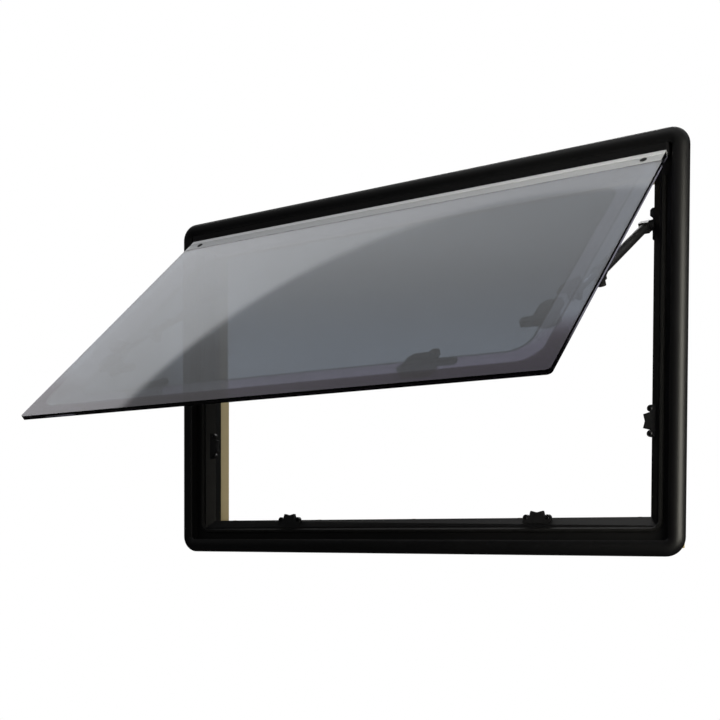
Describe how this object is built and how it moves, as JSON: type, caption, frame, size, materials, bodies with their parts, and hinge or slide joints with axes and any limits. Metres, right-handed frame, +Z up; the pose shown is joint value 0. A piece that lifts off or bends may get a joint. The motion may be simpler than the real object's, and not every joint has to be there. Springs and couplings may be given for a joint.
{
  "type": "caravan window",
  "caption": "Top-hung caravan window: smoked double acrylic sash open on telescopic stays in a rounded black wall frame, with turning latches, keepers and a cream inner frame.",
  "frame": {"origin": "on the back face of the wall flange, at the middle of the bottom rail", "axes": "+X along the window's width to the right as seen from outside, +Y into the wall towards the room, +Z up"},
  "size_m": [0.94, 0.4597, 0.6],
  "materials": {
    "frame_black": "satin moulded black plastic",
    "fitting_black": "fine-grained moulded black plastic",
    "inner_cream": "smooth cream plastic",
    "seal_rubber": "matt black rubber",
    "hinge_silver": "satin anodised",
    "smoked_acrylic": "clear smoke-grey acrylic",
    "stay_black": "satin black",
    "rod_steel": "drawn steel"
  },
  "bodies": {
    "frame": {"outer_frame": "frame_black", "frame_seal": "seal_rubber", "hinge_channel": "frame_black", "hinge_stop_left": "fitting_black", "hinge_stop_right": "fitting_black", "inner_frame_top": "inner_cream", "inner_frame_bottom": "inner_cream", "inner_frame_left": "inner_cream", "inner_frame_right": "inner_cream", "stay_bracket_left": "fitting_black", "stay_bracket_right": "fitting_black", "keeper_bottom_left": "fitting_black", "keeper_bottom_right": "fitting_black", "keeper_side_left": "fitting_black", "keeper_side_right": "fitting_black"},
    "sash": {"outer_pane": "smoked_acrylic", "inner_pane": "smoked_acrylic", "hinge_rail": "hinge_silver", "sash_bracket_left": "fitting_black", "sash_bracket_right": "fitting_black", "latch_base_bottom_left": "fitting_black", "latch_base_bottom_right": "fitting_black", "latch_base_side_left": "fitting_black", "latch_base_side_right": "fitting_black"},
    "stay_tube_left": {"stay_tube_left": "stay_black", "stay_clamp_left": "fitting_black"},
    "stay_rod_left": {"stay_rod_left": "rod_steel"},
    "stay_tube_right": {"stay_tube_right": "stay_black", "stay_clamp_right": "fitting_black"},
    "stay_rod_right": {"stay_rod_right": "rod_steel"},
    "latch_bottom_left": {"latch_lever_bottom_left": "fitting_black"},
    "latch_bottom_right": {"latch_lever_bottom_right": "fitting_black"},
    "latch_side_left": {"latch_lever_side_left": "fitting_black"},
    "latch_side_right": {"latch_lever_side_right": "fitting_black"}
  },
  "joints": [
    {"name": "sash_swing", "type": "hinge", "parent": "frame", "child": "sash", "pos_m": [0, -0.004, 0.5575], "axis": [-1, 0, 0], "range_deg": [-47.7, 0]},
    {"name": "stay_turn_left", "type": "hinge", "parent": "frame", "child": "stay_tube_left", "pos_m": [-0.399, 0.0256, 0.466], "axis": [-1, 0, 0], "range_deg": [-58.99, 0]},
    {"name": "stay_slide_left", "type": "slide", "parent": "stay_tube_left", "child": "stay_rod_left", "axis": [0, -0.8616, -0.5076], "range_m": [-0.05802, 0]},
    {"name": "stay_turn_right", "type": "hinge", "parent": "frame", "child": "stay_tube_right", "pos_m": [0.399, 0.0256, 0.466], "axis": [-1, 0, 0], "range_deg": [-58.99, 0]},
    {"name": "stay_slide_right", "type": "slide", "parent": "stay_tube_right", "child": "stay_rod_right", "axis": [0, -0.8616, -0.5076], "range_m": [-0.05802, 0]},
    {"name": "latch_turn_bottom_left", "type": "hinge", "parent": "sash", "child": "latch_bottom_left", "pos_m": [-0.237, -0.34312, 0.24892], "axis": [0, 0.673, -0.7396], "range_deg": [-90, 0]},
    {"name": "latch_turn_bottom_right", "type": "hinge", "parent": "sash", "child": "latch_bottom_right", "pos_m": [0.237, -0.34312, 0.24892], "axis": [0, -0.673, 0.7396], "range_deg": [-90, 0]},
    {"name": "latch_turn_side_left", "type": "hinge", "parent": "sash", "child": "latch_side_left", "pos_m": [-0.378, -0.28025, 0.30613], "axis": [0, 0.673, -0.7396], "range_deg": [-90, 0]},
    {"name": "latch_turn_side_right", "type": "hinge", "parent": "sash", "child": "latch_side_right", "pos_m": [0.378, -0.28025, 0.30613], "axis": [0, -0.673, 0.7396], "range_deg": [-90, 0]}
  ],
  "couplings": [
    {"joint": "stay_turn_left", "follows": "sash_swing", "ratio": 1.2366},
    {"joint": "stay_slide_left", "follows": "sash_swing", "m_per_rad": 0.069681},
    {"joint": "stay_turn_right", "follows": "sash_swing", "ratio": 1.2366},
    {"joint": "stay_slide_right", "follows": "sash_swing", "m_per_rad": 0.069681}
  ]
}
